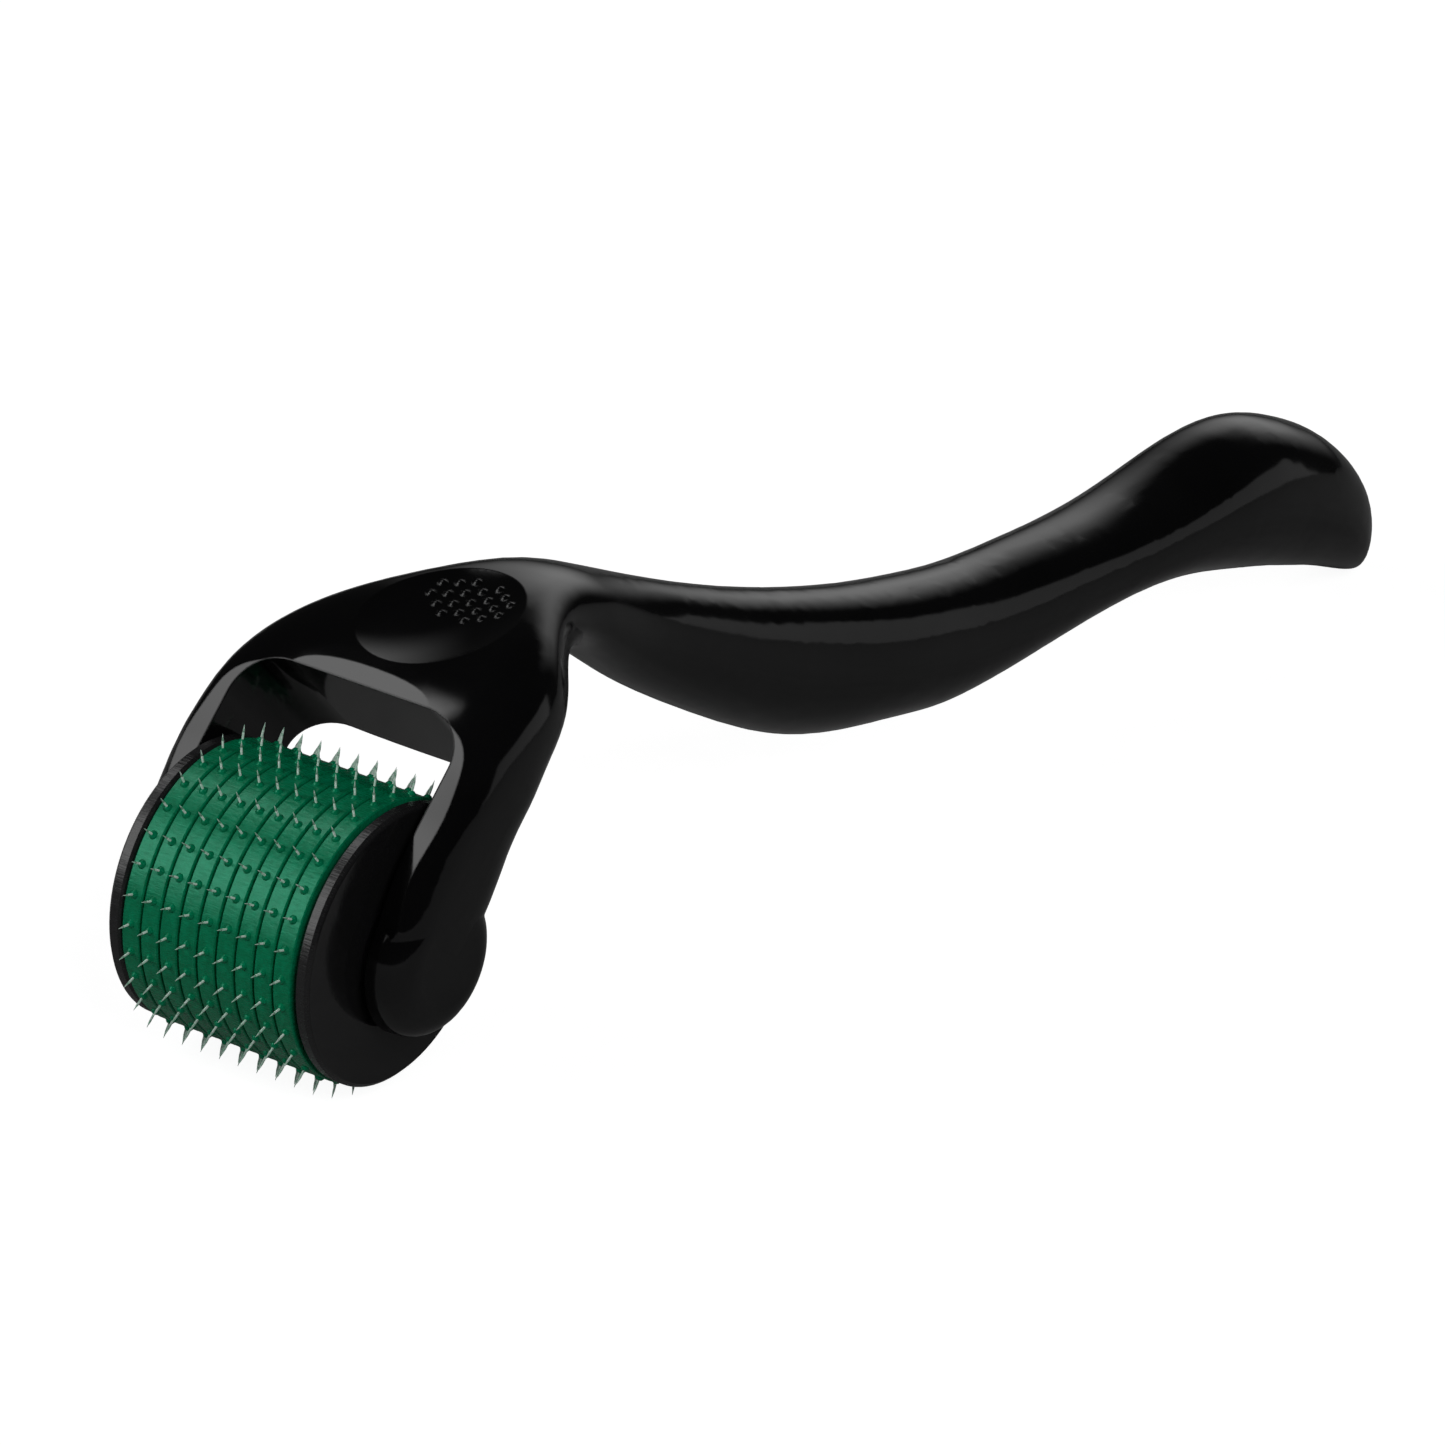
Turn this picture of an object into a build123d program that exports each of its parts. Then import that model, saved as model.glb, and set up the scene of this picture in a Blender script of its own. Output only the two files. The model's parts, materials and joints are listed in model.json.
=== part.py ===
"""Derma roller: a one-piece glossy handle whose fork carries a free-spinning needle drum.

Millimetres, +Z up. The roller rests on its lower needle tips and on the end of the handle.
+X runs from the drum to the handle end, and the object mirrors across the XZ plane.
"""

import os
from math import asin, atan2, cos, degrees, hypot, radians, sin, sqrt
from typing import NamedTuple

from build123d import *

os.makedirs("parts", exist_ok=True)


class Station(NamedTuple):
    """One cross-section of the handle, with its two ends measured from the axle."""

    top_x: float
    top_z: float
    bottom_x: float
    bottom_z: float
    half_width: float
    top_fullness: float
    bottom_fullness: float


# Drum: a stack of discs between two flanges on one sleeve
disc_count = 9
disc_pitch = 1.6
disc_radius = 10.0
disc_gap = 0.18
disc_edge_chamfer = 0.08
disc_thickness = disc_pitch - disc_gap
core_radius = 4.0
fit_clearance = 0.01
running_clearance = 0.05
flange_thickness = 1.32
flange_radius = 9.9
flange_chamfer = 0.3
stack_half_width = disc_count * disc_pitch / 2
drum_half_width = stack_half_width + flange_thickness

# Needles: each row is one stamped ring of sheet steel, moulded into its disc
needles_per_ring = 30
needle_protrusion = 1.25
needle_width = 0.24
needle_tip_width = 0.05
needle_shoulder = 0.7
ring_sheet = 0.24
ring_inner_radius = 6.4
ring_outer_radius = 8.2
collar_radius = 0.28
collar_tip_radius = 0.16
collar_height = 0.12
collar_root = 0.3
needle_reach = disc_radius + needle_protrusion
needle_pitch_angle = 360 / needles_per_ring

# Axle pin, washers and fork
pin_radius = 1.25
pin_chamfer = 0.15
arm_gap = 0.8
washer_radius = 2.6
washer_play = 0.06
arm_thickness = 3.0
bore_depth = 2.1
lobe_radius = 5.6
lobe_edge_radius = 2.4
lobe_inset = 0.1
lobe_offset_x = 0.9
lobe_offset_z = -0.5
window_corner_radius = 3.4
window_clearance = 3.15
window_wall_angle = 47.0
window_wall_distance = needle_reach + window_clearance
fork_half_gap = drum_half_width + arm_gap
head_half_width = fork_half_gap + arm_thickness
lobe_outer_face = head_half_width - lobe_inset
pin_half_length = fork_half_gap + bore_depth - running_clearance

# The handle is drawn at these sizes, and then follows the drum, its own length and the ground
drawn_wall_distance = 14.4
drawn_neck_x = 29.8
drawn_end_x = 134.7
drawn_end_drop = 11.19
handle_reach = 134.7

# Handle cross-sections from the fork lobes to the rounded end, as drawn
stations = (
    Station(-3.3, -2.6, 5.8, -3.0, head_half_width - 0.5, 0.72, 0.66),
    Station(-4.2, 0.3, 6.9, -0.2, head_half_width - 0.1, 0.86, 0.76),
    Station(-4.8, 2.4, 8.2, 1.6, head_half_width, 0.96, 0.80),
    Station(-3.8, 5.0, 9.9, 3.9, head_half_width, 0.96, 0.78),
    Station(-1.7, 8.4, 11.3, 6.0, head_half_width, 0.96, 0.76),
    Station(1.2, 11.7, 12.7, 7.7, head_half_width, 0.94, 0.75),
    Station(5.0, 15.0, 14.3, 8.9, head_half_width - 0.4, 0.89, 0.70),
    Station(10.0, 16.9, 16.6, 10.4, head_half_width - 1.5, 0.86, 0.65),
    Station(15.2, 18.2, 19.2, 11.6, head_half_width - 3.9, 0.82, 0.61),
    Station(20.2, 18.8, 22.4, 12.4, head_half_width - 6.6, 0.76, 0.58),
    Station(25.0, 18.4, 26.0, 12.2, head_half_width - 7.9, 0.67, 0.58),
    Station(drawn_neck_x, 16.9, drawn_neck_x, 10.3, 3.9, 0.58, 0.58),
    Station(35.0, 14.9, 35.0, 6.9, 3.4, 0.57, 0.57),
    Station(43.0, 12.0, 43.0, 2.6, 3.5, 0.57, 0.57),
    Station(52.0, 9.2, 52.0, -1.6, 3.9, 0.57, 0.57),
    Station(62.0, 6.7, 62.0, -4.4, 4.3, 0.57, 0.57),
    Station(72.0, 4.9, 72.0, -5.7, 4.5, 0.57, 0.57),
    Station(82.0, 3.9, 82.0, -5.5, 4.5, 0.57, 0.57),
    Station(92.0, 3.7, 92.0, -4.3, 4.6, 0.57, 0.57),
    Station(102.0, 4.2, 102.0, -3.8, 5.0, 0.57, 0.57),
    Station(110.0, 5.6, 110.0, -4.8, 5.4, 0.57, 0.57),
    Station(118.0, 5.8, 118.0, -6.5, 5.5, 0.58, 0.58),
    Station(123.0, 4.3, 123.0, -7.7, 5.4, 0.60, 0.60),
    Station(127.2, 2.2, 127.2, -8.8, 5.1, 0.62, 0.62),
    Station(130.6, -0.6, 130.6, -9.9, 4.5, 0.64, 0.64),
    Station(133.0, -3.9, 133.0, -10.7, 3.5, 0.66, 0.66),
    Station(134.2, -6.9, 134.2, -11.05, 2.4, 0.68, 0.68),
    Station(drawn_end_x, -8.9, drawn_end_x, -drawn_end_drop, 1.3, 0.70, 0.70),
)

# Front face of the fork arms, as drawn
strip_foot = (-4.2, 0.9)
strip_top = (6.6, 17.4)
strip_curve = (strip_foot, (-3.1, 4.25), (-1.7, 6.8), (1.2, 10.3), (3.7, 13.2), (5.4, 15.4), strip_top)
strip_cut_front_x = -16.0

# Bevel above the window, as drawn
bevel_inset = 2.8
bevel_front = (4.2, 14.43)
bevel_back = (6.6, 15.75)
bevel_cut = 3.0
bevel_half_width = fork_half_gap - bevel_inset

# Finger dish in the hood and its pips
dish_centre_x = 13.8
dish_floor_z = 16.7
dish_length_radius = 22.5
dish_width_radius = 15.3
dish_tilt = 11.0
pip_radius = 0.4
pip_rise = 0.2
pip_centre = 3.5
pip_step_x = 0.68
pip_step_y = 0.95
pip_reach = 2


def follow(x, z):
    """Move a drawn point of the handle to suit the drum and the handle's length.

    The hood is pushed out with the window wall, the arms less the nearer they are to the axle,
    and the grip is stretched along X beyond the neck.
    """
    wall_x = cos(radians(window_wall_angle))
    wall_z = sin(radians(window_wall_angle))
    share = max(0.0, min(1.0, (x * wall_x + z * wall_z) / drawn_wall_distance))
    push = share * (window_wall_distance - drawn_wall_distance)
    beyond_neck = max(0.0, x - drawn_neck_x)
    stretch = (handle_reach - drawn_neck_x) / (drawn_end_x - drawn_neck_x)
    return x + beyond_neck * (stretch - 1) + push * wall_x, z + push * wall_z


# Where the axle stands: two needle tips of every ring and the handle end touch the ground
end_x, end_z = follow(drawn_end_x, -drawn_end_drop)
end_distance = hypot(end_x, end_z)
axle_height = needle_reach * cos(radians(needle_pitch_angle / 2))
axle_x = -(sqrt(end_distance**2 - axle_height**2) - needle_reach) / 2
axle = Vector(axle_x, 0, axle_height)
handle_tilt = degrees(asin(axle_height / end_distance) - atan2(-end_z, end_x))
along_handle = Vector(1, 0, 0).rotate(Axis.Y, handle_tilt)
handle_plane = Plane(origin=axle, x_dir=along_handle, z_dir=(0, -1, 0))


def handle_point(x, z):
    """The place of a drawn point of the handle, on the middle plane."""
    return handle_plane.from_local_coords(Vector(*follow(x, z), 0))


def axle_plane(lateral):
    """A plane square to the axle at the given distance along +Y."""
    return Plane(origin=axle + Vector(0, lateral, 0), x_dir=(1, 0, 0), z_dir=(0, 1, 0))


def station_plane(station):
    """The plane of one handle cross-section: local x runs along +Y and local y from bottom to top."""
    top = handle_point(station.top_x, station.top_z)
    bottom = handle_point(station.bottom_x, station.bottom_z)
    upward = (top - bottom).normalized()
    return Plane(origin=(top + bottom) / 2, x_dir=(0, 1, 0), z_dir=Vector(0, 1, 0).cross(upward))


def half_height(station):
    """Half the distance between the two ends of a cross-section."""
    top = handle_point(station.top_x, station.top_z)
    bottom = handle_point(station.bottom_x, station.bottom_z)
    return (top - bottom).length / 2


def draw_section(width, height, top_fullness, bottom_fullness):
    """Draw a closed rounded section; a fullness of 0.55 is an ellipse and 1 is nearly square."""
    top_knee = width * top_fullness
    bottom_knee = width * bottom_fullness
    top_rise = height * top_fullness
    bottom_rise = height * bottom_fullness
    Bezier((width, 0), (width, top_rise), (top_knee, height), (0, height))
    Bezier((0, height), (-top_knee, height), (-width, top_rise), (-width, 0))
    Bezier((-width, 0), (-width, -bottom_rise), (-bottom_knee, -height), (0, -height))
    Bezier((0, -height), (bottom_knee, -height), (width, -bottom_rise), (width, 0))


def pip_places(floor_plane):
    """Centres of the grip pips: a diamond lattice without its four corners, on the floor of the dish."""
    places = []
    steps = range(-pip_reach, pip_reach + 1)
    for row in steps:
        for column in steps:
            if abs(row) == pip_reach and abs(column) == pip_reach:
                continue
            along = pip_centre + (row + column) * pip_step_x
            across = (row - column) * pip_step_y
            fall = sqrt(1 - (along / dish_length_radius) ** 2 - (across / dish_width_radius) ** 2)
            depth = -dish_width_radius * fall - pip_radius + pip_rise
            places.append(floor_plane.from_local_coords(Vector(along, depth, -across)))
    return places


def needle_outline(clearance):
    """Draw the needles of one ring on the current sketch, grown sideways by the clearance."""
    root = ring_outer_radius - ring_sheet
    shoulder = needle_reach - needle_shoulder
    base = needle_width / 2 + clearance
    tip = needle_tip_width / 2 + clearance
    with PolarLocations(0, needles_per_ring):
        Polygon(
            (root, -base),
            (shoulder, -base),
            (needle_reach, -tip),
            (needle_reach, tip),
            (shoulder, base),
            (root, base),
            align=None,
        )


# Handle: fork, hood, neck and grip in one moulding
strip_outline = [follow(*point) for point in strip_curve]
bevel_start = follow(*bevel_front)
bevel_end = follow(*bevel_back)
window_through = along_handle.rotate(Axis.Y, 90 - window_wall_angle)
lobe_centre = handle_point(lobe_offset_x, lobe_offset_z)
dish_floor = handle_point(dish_centre_x, dish_floor_z)
along_dish = along_handle.rotate(Axis.Y, -dish_tilt)
dish_upward = Vector(0, -1, 0).cross(along_dish)
dish_plane = Plane(origin=dish_floor + dish_upward * dish_width_radius, x_dir=along_dish, z_dir=(0, -1, 0))

with BuildPart() as handle_body:
    for station in stations:
        with BuildSketch(station_plane(station)):
            with BuildLine():
                draw_section(
                    station.half_width,
                    half_height(station),
                    station.top_fullness,
                    station.bottom_fullness,
                )
            make_face()
    loft()

    # Flat front strip of the arms
    with BuildSketch(handle_plane):
        with BuildLine():
            Spline(*strip_outline)
            Polyline(
                strip_outline[-1],
                (strip_cut_front_x, strip_outline[-1][1]),
                (strip_cut_front_x, strip_outline[0][1]),
                strip_outline[0],
            )
        make_face()
    extrude(amount=head_half_width + arm_gap, both=True, mode=Mode.SUBTRACT)

    # Bevel above the window
    with BuildSketch(handle_plane):
        Polygon(
            bevel_start,
            bevel_end,
            (bevel_end[0], bevel_end[1] + bevel_cut),
            (bevel_start[0] - bevel_cut, bevel_end[1] + bevel_cut),
            (bevel_start[0] - bevel_cut, bevel_start[1]),
            align=None,
        )
    extrude(amount=bevel_half_width, both=True, mode=Mode.SUBTRACT)

    # Finger dish in the top of the hood
    with BuildSketch(dish_plane):
        with BuildLine():
            EllipticalCenterArc((0, 0), dish_length_radius, dish_width_radius, 180, arc_size=180)
            Line((-dish_length_radius, 0), (dish_length_radius, 0))
        make_face()
    revolve(axis=Axis(dish_plane.origin, dish_plane.x_dir), mode=Mode.SUBTRACT)

    # Rounded lower ends of the arms
    for side in (1, -1):
        with BuildSketch(Plane(origin=lobe_centre, x_dir=(1, 0, 0), z_dir=(0, 0, 1))) as lobe:
            with Locations((lobe_radius / 2, side * (lobe_outer_face - arm_thickness))):
                Rectangle(lobe_radius, 2 * arm_thickness)
            rim_corners = lobe.vertices().sort_by(Axis.X)[-2:].sort_by(Axis.Y)
            fillet(rim_corners[-1] if side > 0 else rim_corners[0], lobe_edge_radius)
        revolve(axis=Axis(lobe_centre, (0, 1, 0)))

    # Window and fork gap
    with BuildSketch(Plane(origin=axle, x_dir=(0, 1, 0), z_dir=window_through)) as window:
        Rectangle(2 * fork_half_gap, 2 * window_wall_distance)
        fillet(window.vertices(), window_corner_radius)
    extrude(amount=2 * window_wall_distance, both=True, mode=Mode.SUBTRACT)

    # Blind bores for the axle pin
    with BuildSketch(axle_plane(0)):
        Circle(pin_radius + fit_clearance)
    extrude(amount=fork_half_gap + bore_depth, both=True, mode=Mode.SUBTRACT)

    # Grip pips standing on the floor of the dish
    for pip in pip_places(dish_plane):
        with Locations(pip):
            Sphere(pip_radius)
handle_body.part.label = "handle_body"
export_step(handle_body.part, "parts/handle_body.step")

# Axle pin
with BuildPart() as axle_pin:
    with BuildSketch(axle_plane(0)):
        Circle(pin_radius)
    extrude(amount=pin_half_length, both=True)
    chamfer(axle_pin.edges().filter_by(GeomType.CIRCLE), pin_chamfer)
axle_pin.part.label = "axle_pin"
export_step(axle_pin.part, "parts/axle_pin.step")

# Washers between the arms and the drum
for name, side in (("left_washer", -1), ("right_washer", 1)):
    with BuildPart() as washer:
        with BuildSketch(axle_plane(side * (drum_half_width + washer_play))):
            Circle(washer_radius)
            Circle(pin_radius + running_clearance, mode=Mode.SUBTRACT)
        extrude(amount=side * (arm_gap - 2 * washer_play))
    washer.part.label = name
    export_step(washer.part, f"parts/{name}.step")

# Sleeve that carries the drum on the pin
with BuildPart() as roller_core:
    with BuildSketch(axle_plane(0)):
        Circle(core_radius)
        Circle(pin_radius + running_clearance, mode=Mode.SUBTRACT)
    extrude(amount=drum_half_width, both=True)
roller_core.part.label = "roller_core"
export_step(roller_core.part, "parts/roller_core.step")

# Black end flanges
for name, side in (("left_flange", -1), ("right_flange", 1)):
    with BuildPart() as flange:
        with BuildSketch(axle_plane(side * (stack_half_width + disc_gap / 2))):
            Circle(flange_radius)
            Circle(core_radius + fit_clearance, mode=Mode.SUBTRACT)
        extrude(amount=side * (flange_thickness - disc_gap / 2))
        flange_rims = flange.edges().filter_by(GeomType.CIRCLE).sort_by(SortBy.RADIUS)[-2:]
        chamfer(flange_rims, flange_chamfer)
    flange.part.label = name
    export_step(flange.part, f"parts/{name}.step")

# Middle needle ring, and the green disc that is moulded around it
with BuildPart() as needle_ring:
    with BuildSketch(axle_plane(0)):
        Circle(ring_outer_radius)
        needle_outline(0)
        Circle(ring_inner_radius, mode=Mode.SUBTRACT)
    extrude(amount=ring_sheet / 2, both=True)

with BuildPart() as needle_disc:
    with BuildSketch(axle_plane(0)):
        Circle(disc_radius)
        Circle(core_radius + fit_clearance, mode=Mode.SUBTRACT)
    extrude(amount=disc_thickness / 2, both=True)
    disc_rims = needle_disc.edges().filter_by(GeomType.CIRCLE).sort_by(SortBy.RADIUS)[-2:]
    chamfer(disc_rims, disc_edge_chamfer)

    # Low collar at the foot of every needle
    collar_length = collar_root + collar_height
    collar_middle = disc_radius + collar_height - collar_length / 2
    with Locations(Location(axle_plane(0))):
        with PolarLocations(collar_middle, needles_per_ring):
            Cone(collar_radius, collar_tip_radius, collar_length, rotation=(0, 90, 0))

    # Room for the ring and its needles
    with BuildSketch(axle_plane(0)):
        Circle(ring_outer_radius + fit_clearance)
        needle_outline(fit_clearance)
        Circle(ring_inner_radius - fit_clearance, mode=Mode.SUBTRACT)
    extrude(amount=ring_sheet / 2 + fit_clearance, both=True, mode=Mode.SUBTRACT)

# The stack is nine copies of that ring and disc, side by side along the axle
for number in range(disc_count):
    shift = Location((0, (number - (disc_count - 1) / 2) * disc_pitch, 0))
    for name, source in (("needle_ring", needle_ring.part), ("needle_disc", needle_disc.part)):
        copy = source.moved(shift)
        copy.label = f"{name}_{number + 1}"
        export_step(copy, f"parts/{copy.label}.step")
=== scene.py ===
"""Derma roller: materials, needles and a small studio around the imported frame.

Everything is in metres in the frame's own axes. +X runs from the drum to the handle end, and the
drum turns about an axle along Y.
"""

import json
import logging
from dataclasses import dataclass
from enum import Enum
from math import cos, pi, radians, sin
from typing import Any

import bmesh
import bpy
from mathutils import Matrix, Quaternion, Vector

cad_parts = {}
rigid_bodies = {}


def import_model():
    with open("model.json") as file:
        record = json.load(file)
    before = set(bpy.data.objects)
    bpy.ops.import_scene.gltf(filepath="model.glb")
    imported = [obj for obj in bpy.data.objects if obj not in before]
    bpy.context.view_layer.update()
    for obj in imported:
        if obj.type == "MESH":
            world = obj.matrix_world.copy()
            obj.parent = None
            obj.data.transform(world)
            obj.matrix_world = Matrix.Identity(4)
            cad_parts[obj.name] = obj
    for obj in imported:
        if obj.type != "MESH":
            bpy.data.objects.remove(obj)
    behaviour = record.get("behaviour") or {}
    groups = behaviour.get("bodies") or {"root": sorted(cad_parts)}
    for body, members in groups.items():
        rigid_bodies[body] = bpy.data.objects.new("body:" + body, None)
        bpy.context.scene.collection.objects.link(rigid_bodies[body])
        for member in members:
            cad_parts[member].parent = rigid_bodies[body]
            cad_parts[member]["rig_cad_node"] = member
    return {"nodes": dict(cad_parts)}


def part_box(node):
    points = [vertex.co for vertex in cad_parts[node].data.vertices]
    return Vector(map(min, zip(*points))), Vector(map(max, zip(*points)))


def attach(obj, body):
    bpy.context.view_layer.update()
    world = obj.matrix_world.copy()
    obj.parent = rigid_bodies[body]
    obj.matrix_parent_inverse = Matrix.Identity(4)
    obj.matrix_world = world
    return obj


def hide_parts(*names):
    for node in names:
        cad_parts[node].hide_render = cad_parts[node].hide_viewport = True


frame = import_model()

LOG = logging.getLogger("derma_roller")
MM = 0.001

# The sRGB curve: a straight line up to the knee, a power above it.
SRGB_KNEE = 0.04045
SRGB_SLOPE = 12.92
SRGB_OFFSET = 0.055
SRGB_POWER = 2.4

# Nearly all the values of a noise lie between these two.
NOISE_LOW = 0.3
NOISE_HIGH = 0.7


class Slot(Enum):
    """The record's material slots."""

    BLACK_GLOSS = "black_gloss"
    GREEN_PLASTIC = "green_plastic"
    NEEDLE_STEEL = "needle_steel"
    PIN_STEEL = "pin_steel"
    WASHER_NYLON = "washer_nylon"
    CORE_PLASTIC = "core_plastic"


def linear(colour: str) -> tuple[float, float, float, float]:
    """Turn an sRGB hex colour into linear values.

    Args:
        colour: six hex digits with a leading "#".

    Returns:
        Linear red, green and blue, and an alpha of 1.
    """
    channels = []
    for value in (part / 255 for part in bytes.fromhex(colour[1:])):
        if value <= SRGB_KNEE:
            channels.append(value / SRGB_SLOPE)
        else:
            channels.append(((value + SRGB_OFFSET) / (1 + SRGB_OFFSET)) ** SRGB_POWER)
    return (channels[0], channels[1], channels[2], 1.0)


def add_node(
    tree: bpy.types.NodeTree, kind: str, settings: dict[str, Any] | None = None, **sockets: Any
) -> bpy.types.Node:
    """Add one shader node.

    Args:
        tree: the node tree that gets the node.
        kind: the node's type name, without its "ShaderNode" start.
        settings: attributes of the node itself.
        **sockets: values or output sockets for its inputs, by name with "_" for a space, or by
            place as "i0" or "i1".

    Returns:
        The new node.
    """
    node = tree.nodes.new("ShaderNode" + kind)
    for name, value in (settings or {}).items():
        setattr(node, name, value)
    for name, value in sockets.items():
        place = int(name[1:]) if name[0] == "i" and name[1:].isdigit() else name.replace("_", " ")
        if isinstance(value, bpy.types.NodeSocket):
            tree.links.new(value, node.inputs[place])
        else:
            node.inputs[place].default_value = value
    return node


def arc_and_axial(tree: bpy.types.NodeTree, axle: Vector, radius: float) -> bpy.types.NodeSocket:
    """Unroll a surface turned about the axle into flat coordinates in metres.

    Args:
        tree: the node tree.
        axle: a point on the axle, which runs along Y.
        radius: the radius at which an angle becomes an arc length.

    Returns:
        A vector socket: arc length, distance along the axle, distance from the axle.
    """
    times = {"operation": "MULTIPLY"}
    place = add_node(tree, "TexCoord").outputs["Object"]
    centred = add_node(tree, "Mapping", {"vector_type": "POINT"}, Vector=place, Location=-axle).outputs[0]
    parts = add_node(tree, "SeparateXYZ", i0=centred)
    angle = add_node(
        tree, "Math", {"operation": "ARCTAN2"}, i0=parts.outputs["X"], i1=parts.outputs["Z"]
    )
    arc = add_node(tree, "Math", times, i0=angle.outputs[0], i1=radius)
    flat = add_node(tree, "VectorMath", times, i0=centred, i1=(1, 0, 1))
    away = add_node(tree, "VectorMath", {"operation": "LENGTH"}, i0=flat.outputs[0])
    joined = add_node(
        tree, "CombineXYZ", X=arc.outputs[0], Y=parts.outputs["Y"], Z=away.outputs["Value"]
    )
    return joined.outputs[0]


@dataclass(frozen=True)
class Surface:
    """What a finish makes of a surface: the patterns that its tone and gloss follow, and its relief."""

    tone_by: bpy.types.NodeSocket
    gloss_by: bpy.types.NodeSocket
    normal: bpy.types.NodeSocket


@dataclass(frozen=True, kw_only=True)
class Finish:
    """Two tones that follow a pattern, which every finish has."""

    name: str
    tone: str
    tone_light: str
    tone_start: float = 0.35
    tone_end: float = 0.65

    def blank(self) -> tuple[bpy.types.Material, bpy.types.NodeTree]:
        """Make the material with an empty tree."""
        material = bpy.data.materials.new(self.name)
        material.use_nodes = True
        material.node_tree.nodes.clear()
        return material, material.node_tree

    def coloured(
        self, tree: bpy.types.NodeTree, pattern: bpy.types.NodeSocket
    ) -> bpy.types.NodeSocket:
        """Colour the surface from the first tone to the second as a pattern rises.

        Args:
            tree: the node tree.
            pattern: the pattern, from 0 to 1.

        Returns:
            The colour.
        """
        ramp = add_node(tree, "ValToRGB", i0=pattern)
        stops = ((self.tone_start, self.tone), (self.tone_end, self.tone_light))
        for stop, (position, tone) in zip(ramp.color_ramp.elements, stops):
            stop.position = position
            stop.color = linear(tone)
        return ramp.outputs[0]


@dataclass(frozen=True, kw_only=True)
class SolidFinish(Finish):
    """A finish of a solid surface, whose roughness follows a pattern too."""

    roughness: float
    roughness_dull: float
    gloss_start: float = NOISE_LOW
    gloss_end: float = NOISE_HIGH

    def surface(self, tree: bpy.types.NodeTree) -> Surface:
        """Lay the finish's patterns and relief.

        Args:
            tree: the node tree.

        Returns:
            The patterns and the relief.
        """
        raise NotImplementedError

    def substance(self) -> dict[str, Any]:
        """Say what is the same all over the surface, by the shader's own socket names."""
        return {}

    def make(self) -> bpy.types.Material:
        """Build the material."""
        material, tree = self.blank()
        surface = self.surface(tree)
        roughness = add_node(
            tree,
            "MapRange",
            Value=surface.gloss_by,
            From_Min=self.gloss_start,
            From_Max=self.gloss_end,
            To_Min=self.roughness,
            To_Max=self.roughness_dull,
        )
        shader = add_node(
            tree,
            "BsdfPrincipled",
            Base_Color=self.coloured(tree, surface.tone_by),
            Roughness=roughness.outputs[0],
            Normal=surface.normal,
            **self.substance(),
        )
        add_node(tree, "OutputMaterial", i0=shader.outputs[0])
        return material


@dataclass(frozen=True, kw_only=True)
class GlossBlackAbs(SolidFinish):
    """Black ABS, injection moulded in a polished steel tool.

    The polish gives sharp reflections over a nearly black body. Uneven cooling leaves them very
    slightly wavy, and handling leaves faint duller patches.
    """

    name: str = "gloss_black_abs"
    tone: str = "#0a0a0b"
    tone_light: str = "#101011"
    tone_start: float = 0.42
    tone_end: float = 0.68
    ior: float = 1.54
    roughness: float = 0.07
    roughness_dull: float = 0.13
    patch_pitch: float = 18.0 * MM
    patch_detail: float = 5.0
    patch_raggedness: float = 0.6
    wave_pitch: float = 9.0 * MM
    wave_detail: float = 0.0
    wave_height: float = 0.012 * MM
    peel_pitch: float = 0.5 * MM
    peel_detail: float = 1.0
    peel_height: float = 0.0006 * MM
    edge_radius: float = 0.22 * MM
    edge_samples: int = 6

    def substance(self) -> dict[str, Any]:
        """Say what ABS is all over."""
        return {"IOR": self.ior}

    def surface(self, tree: bpy.types.NodeTree) -> Surface:
        """Lay duller patches, sink waves, a fine orange peel and slightly rounded edges.

        Args:
            tree: the node tree.

        Returns:
            The patterns and the relief.
        """
        place = add_node(tree, "TexCoord").outputs["Object"]
        patches = add_node(
            tree,
            "TexNoise",
            Vector=place,
            Scale=1 / self.patch_pitch,
            Detail=self.patch_detail,
            Roughness=self.patch_raggedness,
        ).outputs[0]
        waves = add_node(
            tree, "TexNoise", Vector=place, Scale=1 / self.wave_pitch, Detail=self.wave_detail
        )
        peel = add_node(
            tree, "TexNoise", Vector=place, Scale=1 / self.peel_pitch, Detail=self.peel_detail
        )
        edge = add_node(tree, "Bevel", {"samples": self.edge_samples}, Radius=self.edge_radius)
        sunk = add_node(
            tree,
            "Bump",
            Height=waves.outputs[0],
            Distance=self.wave_height,
            Strength=1.0,
            Normal=edge.outputs[0],
        )
        skin = add_node(
            tree,
            "Bump",
            Height=peel.outputs[0],
            Distance=self.peel_height,
            Strength=1.0,
            Normal=sunk.outputs[0],
        )
        return Surface(patches, patches, skin.outputs[0])


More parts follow.
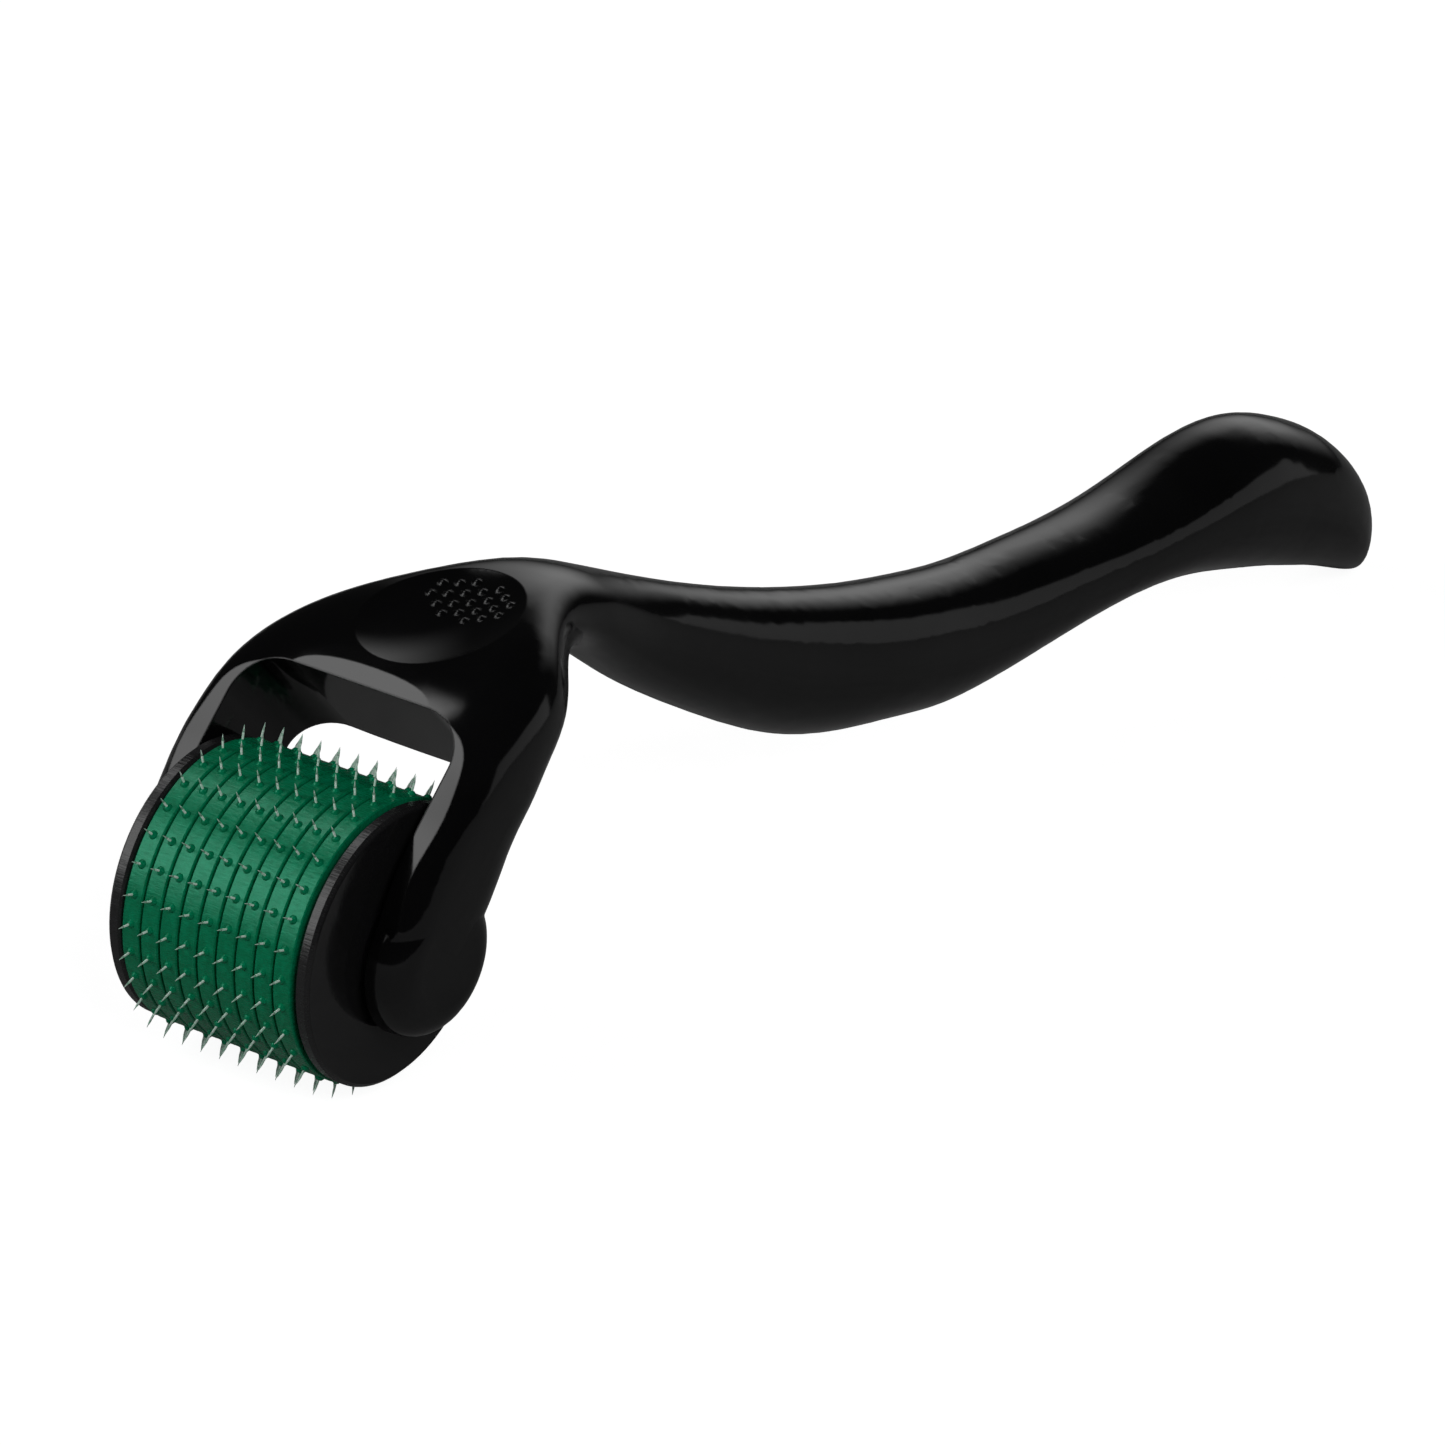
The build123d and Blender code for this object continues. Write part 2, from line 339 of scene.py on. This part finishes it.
@dataclass(frozen=True, kw_only=True)
class TurnedBlackAbs(SolidFinish):
    """Black ABS end flange, moulded in a turned tool.

    The flat face is glossy. The rim carries fine lines along the axle that catch the light.
    """

    axle: Vector
    name: str = "turned_black_abs"
    tone: str = "#1c1c1d"
    tone_light: str = "#262627"
    tone_start: float = 0.1
    ior: float = 1.54
    roughness: float = 0.10
    roughness_dull: float = 0.28
    gloss_start: float = 0.0
    gloss_end: float = 0.6
    rim_radius: float = 9.9 * MM
    rim_band: float = 0.32 * MM
    line_pitch: float = 0.22 * MM
    line_length: float = 3.0 * MM
    line_detail: float = 3.0
    line_raggedness: float = 0.65
    line_height: float = 0.03 * MM

    def substance(self) -> dict[str, Any]:
        """Say what ABS is all over."""
        return {"IOR": self.ior}

    def surface(self, tree: bpy.types.NodeTree) -> Surface:
        """Draw lines along the axle on the rim only.

        Args:
            tree: the node tree.

        Returns:
            The patterns and the relief.
        """
        times = {"operation": "MULTIPLY"}
        unrolled = arc_and_axial(tree, self.axle, self.rim_radius)
        per_line = (1 / self.line_pitch, 1 / self.line_length, 0)
        drawn = add_node(tree, "VectorMath", times, i0=unrolled, i1=per_line)
        lines = add_node(
            tree,
            "TexNoise",
            Vector=drawn.outputs[0],
            Scale=1.0,
            Detail=self.line_detail,
            Roughness=self.line_raggedness,
        )
        on_rim = add_node(
            tree,
            "MapRange",
            Value=add_node(tree, "SeparateXYZ", i0=unrolled).outputs["Z"],
            From_Min=self.rim_radius - self.rim_band,
            From_Max=self.rim_radius - self.rim_band / 2,
        )
        ridges = add_node(tree, "Math", times, i0=lines.outputs[0], i1=on_rim.outputs[0]).outputs[0]
        bump = add_node(tree, "Bump", Height=ridges, Distance=self.line_height, Strength=1.0)
        return Surface(ridges, ridges, bump.outputs[0])


@dataclass(frozen=True, kw_only=True)
class GreenAbs(SolidFinish):
    """Green ABS disc, moulded in a turned tool.

    The rim shows fine draw lines along the axle, a mottled satin gloss and a deeper green between
    the discs, where little light gets in. Its highlights are tinted green, which is chosen for the
    look: plain ABS has white ones.
    """

    axle: Vector
    number: int
    tone: str = "#007c50"
    tone_light: str = "#009163"
    tone_start: float = 0.34
    tone_end: float = 0.66
    ior: float = 1.53
    specular: float = 0.85
    specular_tint: str = "#78e6c0"
    roughness: float = 0.19
    roughness_dull: float = 0.36
    rim_radius: float = 10.0 * MM
    line_pitch: float = 0.16 * MM
    line_length: float = 1.1 * MM
    line_detail: float = 2.0
    line_raggedness: float = 0.6
    line_height: float = 0.012 * MM
    mottle_pitch: float = 0.55 * MM
    mottle_detail: float = 4.0
    mottle_raggedness: float = 0.65
    mottle_height: float = 0.02 * MM
    pattern_step: float = 1.6 * pi * MM

    def substance(self) -> dict[str, Any]:
        """Say what the green ABS is all over."""
        return {
            "IOR": self.ior,
            "Specular_IOR_Level": self.specular,
            "Specular_Tint": linear(self.specular_tint),
        }

    def surface(self, tree: bpy.types.NodeTree) -> Surface:
        """Lay draw lines and a mottle, shifted from disc to disc so that no two look alike.

        Args:
            tree: the node tree.

        Returns:
            The patterns and the relief.
        """
        unrolled = arc_and_axial(tree, self.axle, self.rim_radius)
        shift = (self.number * self.pattern_step, 0, 0)
        shifted = add_node(tree, "VectorMath", {"operation": "ADD"}, i0=unrolled, i1=shift).outputs[0]
        per_line = (1 / self.line_pitch, 1 / self.line_length, 1 / self.line_length)
        drawn = add_node(tree, "VectorMath", {"operation": "MULTIPLY"}, i0=shifted, i1=per_line)
        lines = add_node(
            tree,
            "TexNoise",
            Vector=drawn.outputs[0],
            Scale=1.0,
            Detail=self.line_detail,
            Roughness=self.line_raggedness,
        ).outputs[0]
        mottle = add_node(
            tree,
            "TexNoise",
            Vector=shifted,
            Scale=1 / self.mottle_pitch,
            Detail=self.mottle_detail,
            Roughness=self.mottle_raggedness,
        ).outputs[0]
        fine = add_node(tree, "Bump", Height=lines, Distance=self.line_height, Strength=1.0)
        bump = add_node(
            tree,
            "Bump",
            Height=mottle,
            Distance=self.mottle_height,
            Strength=1.0,
            Normal=fine.outputs[0],
        )
        return Surface(mottle, lines, bump.outputs[0])


@dataclass(frozen=True, kw_only=True)
class GroundSteel(SolidFinish):
    """Bare stainless steel, ground along its length.

    The metal takes the light of its surroundings, and fine grinding lines break up its highlights.
    """

    name: str = "ground_pin_steel"
    tone: str = "#c9cbcc"
    tone_light: str = "#e4e6e6"
    roughness: float = 0.22
    roughness_dull: float = 0.4
    line_pitch: float = 0.06 * MM
    line_length: float = 0.5 * MM
    line_detail: float = 2.0
    line_height: float = 0.003 * MM

    def substance(self) -> dict[str, Any]:
        """Say that it is metal all over."""
        return {"Metallic": 1.0}

    def surface(self, tree: bpy.types.NodeTree) -> Surface:
        """Draw grinding lines along Y.

        Args:
            tree: the node tree.

        Returns:
            The patterns and the relief.
        """
        place = add_node(tree, "TexCoord").outputs["Object"]
        per_line = (1 / self.line_pitch, 1 / self.line_length, 1 / self.line_pitch)
        drawn = add_node(tree, "VectorMath", {"operation": "MULTIPLY"}, i0=place, i1=per_line)
        lines = add_node(
            tree, "TexNoise", Vector=drawn.outputs[0], Scale=1.0, Detail=self.line_detail
        ).outputs[0]
        bump = add_node(tree, "Bump", Height=lines, Distance=self.line_height, Strength=1.0)
        return Surface(lines, lines, bump.outputs[0])


@dataclass(frozen=True, kw_only=True)
class Grained(SolidFinish):
    """A surface with an even fine grain."""

    grain_pitch: float
    grain_height: float
    grain_detail: float = 3.0

    def surface(self, tree: bpy.types.NodeTree) -> Surface:
        """Lay the grain.

        Args:
            tree: the node tree.

        Returns:
            The patterns and the relief.
        """
        place = add_node(tree, "TexCoord").outputs["Object"]
        grain = add_node(
            tree, "TexNoise", Vector=place, Scale=1 / self.grain_pitch, Detail=self.grain_detail
        ).outputs[0]
        bump = add_node(tree, "Bump", Height=grain, Distance=self.grain_height, Strength=1.0)
        return Surface(grain, grain, bump.outputs[0])


@dataclass(frozen=True, kw_only=True)
class NeedleSteel(Grained):
    """Thin stainless steel needles, etched and electropolished.

    They are so fine that the eye sees no mirror in them, only a pale satin shank. Its pale green tone is
    a painted reflection of the green discs around it and a painted sheen in place of the light that the
    steel mirrors, so the finish is pale and only slightly metallic.
    """

    name: str = "needle_steel_painted_reflection"
    # Painted reflection: the pale green tone stands in for the green discs and the light mirrored in the
    # steel.
    tone: str = "#b4ecce"
    tone_light: str = "#f0fff7"
    metallic: float = 0.05
    roughness: float = 0.3
    roughness_dull: float = 0.45
    grain_pitch: float = 0.15 * MM
    grain_height: float = 0.004 * MM

    def substance(self) -> dict[str, Any]:
        """Say how metallic it looks all over."""
        return {"Metallic": self.metallic}


@dataclass(frozen=True, kw_only=True)
class SatinPlastic(Grained):
    """A plain moulded plastic with a fine spark-eroded grain, for the parts inside the drum."""

    ior: float = 1.5
    roughness: float = 0.38
    roughness_dull: float = 0.5
    grain_pitch: float = 0.12 * MM
    grain_height: float = 0.006 * MM

    def substance(self) -> dict[str, Any]:
        """Say what the plastic is all over."""
        return {"IOR": self.ior}


@dataclass(frozen=True, kw_only=True)
class PaleBoard(Finish):
    """A pale painted board that glows for the camera only.

    It looks brighter to the camera than the light that it gives the object, so that it shows as an
    even white and doesn't wash out the black plastic.
    """

    name: str = "pale_board"
    tone: str = "#a4a4a4"
    tone_light: str = "#ababab"
    glow: float = 0.93
    grain_pitch: float = 4.0 * MM
    grain_detail: float = 4.0

    def make(self) -> bpy.types.Material:
        """Build the material."""
        material, tree = self.blank()
        place = add_node(tree, "TexCoord").outputs["Object"]
        grain = add_node(
            tree, "TexNoise", Vector=place, Scale=1 / self.grain_pitch, Detail=self.grain_detail
        )
        paint = add_node(tree, "BsdfDiffuse", Color=self.coloured(tree, grain.outputs[0])).outputs[0]
        glow = add_node(tree, "Emission", Color=linear("#ffffff"), Strength=self.glow)
        seen = add_node(tree, "AddShader", i0=paint, i1=glow.outputs[0])
        direct = add_node(tree, "LightPath").outputs["Is Camera Ray"]
        both = add_node(tree, "MixShader", i0=direct, i1=paint, i2=seen.outputs[0])
        add_node(tree, "OutputMaterial", i0=both.outputs[0])
        return material


def dress(piece: bpy.types.Object, material: bpy.types.Material) -> None:
    """Give a piece one finish.

    Args:
        piece: the object to dress.
        material: the finish.
    """
    if piece.material_slots:
        for material_slot in piece.material_slots:
            material_slot.material = material
    else:
        piece.data.materials.append(material)
    LOG.info("%s dressed in %s", piece.name, material.name)


@dataclass
class Handle:
    """The one-piece handle, its axle pin and the two washers."""

    body_node: str = "handle_body"
    pin_node: str = "axle_pin"
    washer_nodes: tuple[str, ...] = ("left_washer", "right_washer")

    def build(self) -> None:
        """Dress the handle and the parts that stay with it."""
        nodes = frame["nodes"]
        dress(nodes[self.body_node], GlossBlackAbs().make())
        dress(nodes[self.pin_node], GroundSteel().make())
        nylon = SatinPlastic(name="white_nylon", tone="#d8d6cf", tone_light="#e6e4dd").make()
        for name in self.washer_nodes:
            dress(nodes[name], nylon)


@dataclass
class NeedleRow:
    """One stamped needle ring with thin ground needles, and the moulded beads around their feet."""

    axle: Vector
    number: int
    body: str = "roller"
    needle_count: int = 30
    ring_inner: float = 6.4 * MM
    ring_outer: float = 8.2 * MM
    ring_sheet: float = 0.24 * MM
    ring_steps_per_needle: int = 4
    web_lean: float = 30.0
    root: float = 8.0 * MM
    shoulder: float = 10.75 * MM
    tip: float = 11.25 * MM
    shank_radius: float = 0.095 * MM
    neck_radius: float = 0.08 * MM
    tip_radius: float = 0.012 * MM
    shank_sides: int = 8
    bead_centre: float = 9.9 * MM
    bead_radius: float = 0.35 * MM
    bead_rings: int = 5
    bead_sides: int = 10

    @property
    def ring_node(self) -> str:
        """Name the frame's needle ring that this row stands for."""
        return f"needle_ring_{self.number}"

    def middle(self) -> Vector:
        """Find the middle of this row on the axle."""
        low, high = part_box(self.ring_node)
        return Vector((self.axle.x, (low.y + high.y) / 2, self.axle.z))

    def turns(self) -> list[Matrix]:
        """List the placing of every needle, from one that stands along +Z at the origin."""
        middle = Matrix.Translation(self.middle())
        step = 2 * pi / self.needle_count
        return [
            middle @ Matrix.Rotation(step * place + pi / 2, 4, "Y")
            for place in range(self.needle_count)
        ]

    def finish(self, shape: bmesh.types.BMesh, name: str) -> bpy.types.Object:
        """Turn a shape into a piece that turns with the drum.

        Args:
            shape: the finished shape, freed here.
            name: the piece's name.

        Returns:
            The new piece.
        """
        bmesh.ops.recalc_face_normals(shape, faces=shape.faces)
        mesh = bpy.data.meshes.new(name)
        shape.to_mesh(mesh)
        shape.free()
        for face in mesh.polygons:
            face.use_smooth = True
        piece = bpy.data.objects.new(name, mesh)
        bpy.context.scene.collection.objects.link(piece)
        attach(piece, self.body)
        return piece

    def spin_ring(self, shape: bmesh.types.BMesh) -> None:
        """Spin the flat ring that holds the needles.

        Args:
            shape: the shape that gets the ring.
        """
        middle = self.middle()
        profile = []
        for radius in (self.ring_inner, self.ring_outer):
            for side in (-1, 1):
                corner = middle + Vector((radius, side * self.ring_sheet / 2, 0))
                profile.append(shape.verts.new(corner))
        shape.faces.new((profile[0], profile[1], profile[3], profile[2]))
        bmesh.ops.spin(
            shape,
            geom=shape.edges[:] + shape.faces[:],
            cent=middle,
            axis=(0, 1, 0),
            angle=2 * pi,
            steps=self.ring_steps_per_needle * self.needle_count,
            use_merge=True,
        )
        webs = [face for face in shape.faces if self.is_inner_web(face, middle)]
        bmesh.ops.delete(shape, geom=webs, context="FACES_ONLY")

    def is_inner_web(self, face: bmesh.types.BMFace, middle: Vector) -> bool:
        """Tell whether a face lies inside the ring's own sheet.

        Args:
            face: the face to judge.
            middle: the ring's middle.

        Returns:
            True if the face lies across the sheet, as the turned profile itself does.
        """
        outward = face.calc_center_median() - middle
        outward.y = 0
        around = outward.cross(Vector((0, 1, 0))).normalized()
        return abs(face.normal.dot(around)) > cos(radians(self.web_lean))

    def build_needles(self) -> bpy.types.Object:
        """Build the ring and its needles.

        Returns:
            The needle row, which stands for the frame's needle ring.
        """
        shape = bmesh.new()
        self.spin_ring(shape)
        lengths = (
            (self.root, self.shoulder, self.shank_radius, self.neck_radius),
            (self.shoulder, self.tip, self.neck_radius, self.tip_radius),
        )
        for turn in self.turns():
            for foot, head, foot_radius, head_radius in lengths:
                bmesh.ops.create_cone(
                    shape,
                    cap_ends=True,
                    segments=self.shank_sides,
                    radius1=foot_radius,
                    radius2=head_radius,
                    depth=head - foot,
                    matrix=turn @ Matrix.Translation((0, 0, foot + (head - foot) / 2)),
                )
        piece = self.finish(shape, f"needle_row_{self.number}")
        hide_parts(self.ring_node)
        return piece

    def build_beads(self) -> bpy.types.Object:
        """Build the low moulded bead around the foot of every needle.

        Returns:
            The bead row.
        """
        shape = bmesh.new()
        for turn in self.turns():
            bmesh.ops.create_uvsphere(
                shape,
                u_segments=self.bead_sides,
                v_segments=self.bead_rings,
                radius=self.bead_radius,
                matrix=turn @ Matrix.Translation((0, 0, self.bead_centre)),
            )
        return self.finish(shape, f"needle_beads_{self.number}")


@dataclass
class Drum:
    """The needle drum: sleeve, two flanges, nine green discs and nine needle rings."""

    axle: Vector
    disc_count: int = 9
    core_node: str = "roller_core"
    flange_nodes: tuple[str, ...] = ("left_flange", "right_flange")

    def build(self) -> None:
        """Dress every part of the drum."""
        nodes = frame["nodes"]
        sleeve = SatinPlastic(name="black_sleeve", tone="#101011", tone_light="#18181a").make()
        dress(nodes[self.core_node], sleeve)
        rim = TurnedBlackAbs(axle=self.axle).make()
        for name in self.flange_nodes:
            dress(nodes[name], rim)
        steel = NeedleSteel().make()
        for number in range(1, self.disc_count + 1):
            green = GreenAbs(name=f"green_abs_{number}", axle=self.axle, number=number).make()
            dress(nodes[f"needle_disc_{number}"], green)
            row = NeedleRow(self.axle, number)
            dress(row.build_needles(), steel)
            dress(row.build_beads(), green)


@dataclass(frozen=True)
class SoftLight:
    """One rectangular studio light, placed by its direction from the object."""

    name: str
    azimuth: float
    elevation: float
    width: float
    height: float
    radiance: float
    edge: float = 0.25
    mirrored: bool = True
    diffused: bool = True
    distance: float = 1.2
    middle: float = 0.5

    def place(self, target: Vector) -> None:
        """Hang the light and aim it.

        Args:
            target: the point that it faces.
        """
        outward = direction(self.azimuth, self.elevation)
        lamp = bpy.data.lights.new(self.name, "AREA")
        lamp.shape = "RECTANGLE"
        lamp.size = self.width
        lamp.size_y = self.height
        lamp.energy = self.radiance * pi * self.width * self.height
        self.feather(lamp)
        light = bpy.data.objects.new(self.name, lamp)
        light.rotation_euler = outward.to_track_quat("Z", "Y").to_euler()
        light.location = target + outward * self.distance
        light.visible_glossy = self.mirrored
        light.visible_diffuse = self.diffused
        bpy.context.scene.collection.objects.link(light)
        LOG.info("light %s hung", self.name)

    def feather(self, lamp: bpy.types.Light) -> None:
        """Let the light fade towards its edges, as a cloth diffuser does.

        Args:
            lamp: the light's data.
        """
        lamp.use_nodes = True
        tree = lamp.node_tree
        tree.nodes.clear()
        across = add_node(tree, "SeparateXYZ", i0=add_node(tree, "NewGeometry").outputs["Parametric"])
        fades = []
        for axis in ("X", "Y"):
            from_middle = add_node(
                tree, "Math", {"operation": "SUBTRACT"}, i0=across.outputs[axis], i1=self.middle
            )
            off = add_node(tree, "Math", {"operation": "ABSOLUTE"}, i0=from_middle.outputs[0])
            fade = add_node(
                tree,
                "MapRange",
                {"interpolation_type": "SMOOTHSTEP"},
                Value=off.outputs[0],
                From_Min=self.middle,
                From_Max=self.middle - self.edge,
            )
            fades.append(fade.outputs[0])
        both = add_node(tree, "Math", {"operation": "MULTIPLY"}, i0=fades[0], i1=fades[1])
        glow = add_node(tree, "Emission", Color=linear("#ffffff"), Strength=both.outputs[0])
        add_node(tree, "OutputLight", i0=glow.outputs[0])


@dataclass
class Studio:
    """A pale floor, soft lights, a dim room and the camera."""

    axle: Vector
    floor_size: float = 6.0
    floor_squares: int = 2
    room: float = 0.012
    camera_place: tuple[float, float, float] = (-445.96 * MM, -331.22 * MM, 239.34 * MM)
    camera_azimuth: float = -146.214
    camera_elevation: float = 21.916
    camera_roll: float = 4.897
    lens: float = 224.2
    sensor: float = 36.0
    nearest: float = 0.01
    furthest: float = 20.0
    view: str = "Standard"

    def lights(self) -> tuple[SoftLight, ...]:
        """List the lights.

        Returns:
            A wide box behind, a box to the left, a high box that is only mirrored, a front fill
            that is never mirrored, and a dim card to the right.
        """
        return (
            SoftLight("rear_box", 18, 20, width=1.25, height=0.95, radiance=0.85, edge=0.45),
            SoftLight("left_box", 142, 28, width=0.85, height=1.2, radiance=2.4),
            SoftLight(
                "high_box", 85, 60, width=0.6, height=0.5, radiance=2.2, edge=0.3, diffused=False
            ),
            SoftLight("front_fill", -120, 38, width=0.7, height=0.7, radiance=4.6, mirrored=False),
            SoftLight("right_card", -42, -4, width=1.0, height=0.9, radiance=0.24, edge=0.04),
        )

    def build_floor(self) -> None:
        """Lay the floor."""
        mesh = bpy.data.meshes.new("floor")
        shape = bmesh.new()
        bmesh.ops.create_grid(
            shape,
            x_segments=self.floor_squares,
            y_segments=self.floor_squares,
            size=self.floor_size / 2,
        )
        shape.to_mesh(mesh)
        shape.free()
        floor = bpy.data.objects.new("floor", mesh)
        mesh.materials.append(PaleBoard().make())
        bpy.context.scene.collection.objects.link(floor)

    def build_room(self) -> None:
        """Give the room a faint even light."""
        world = bpy.data.worlds.new("room")
        world.use_nodes = True
        world.node_tree.nodes.clear()
        light = add_node(
            world.node_tree, "Background", Color=linear("#ffffff"), Strength=self.room
        )
        add_node(world.node_tree, "OutputWorld", i0=light.outputs[0])
        bpy.context.scene.world = world

    def build_camera(self) -> None:
        """Stand the camera in front of the drum, to its left and a little above it."""
        data = bpy.data.cameras.new("camera")
        data.sensor_width = self.sensor
        data.lens = self.lens
        data.clip_start = self.nearest
        data.clip_end = self.furthest
        data.dof.use_dof = False
        camera = bpy.data.objects.new("camera", data)
        level = direction(self.camera_azimuth, self.camera_elevation).to_track_quat("Z", "Y")
        turned = level @ Quaternion((0, 0, 1), radians(self.camera_roll))
        place = Matrix.Translation(self.axle + Vector(self.camera_place))
        camera.matrix_world = place @ turned.to_matrix().to_4x4()
        bpy.context.scene.collection.objects.link(camera)
        bpy.context.scene.camera = camera

    def build(self) -> None:
        """Build the floor, room, lights and camera."""
        self.build_floor()
        self.build_room()
        for light in self.lights():
            light.place(self.axle)
        self.build_camera()
        bpy.context.scene.view_settings.view_transform = self.view
        LOG.info("studio ready")


def direction(azimuth: float, elevation: float) -> Vector:
    """Point from the object towards a place around it.

    Args:
        azimuth: degrees from +X towards +Y.
        elevation: degrees above the floor.

    Returns:
        A direction of length 1.
    """
    across, above = radians(azimuth), radians(elevation)
    return Vector((cos(above) * cos(across), cos(above) * sin(across), sin(above)))


def axle_point() -> Vector:
    """Find the middle of the axle pin in the frame."""
    low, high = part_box("axle_pin")
    return (low + high) / 2


def main() -> None:
    """Build the object's looks in order."""
    logging.basicConfig(level=logging.INFO)
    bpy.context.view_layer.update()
    axle = axle_point()
    Handle().build()
    Drum(axle).build()
    Studio(axle).build()


if __name__ == "__main__":
    main()
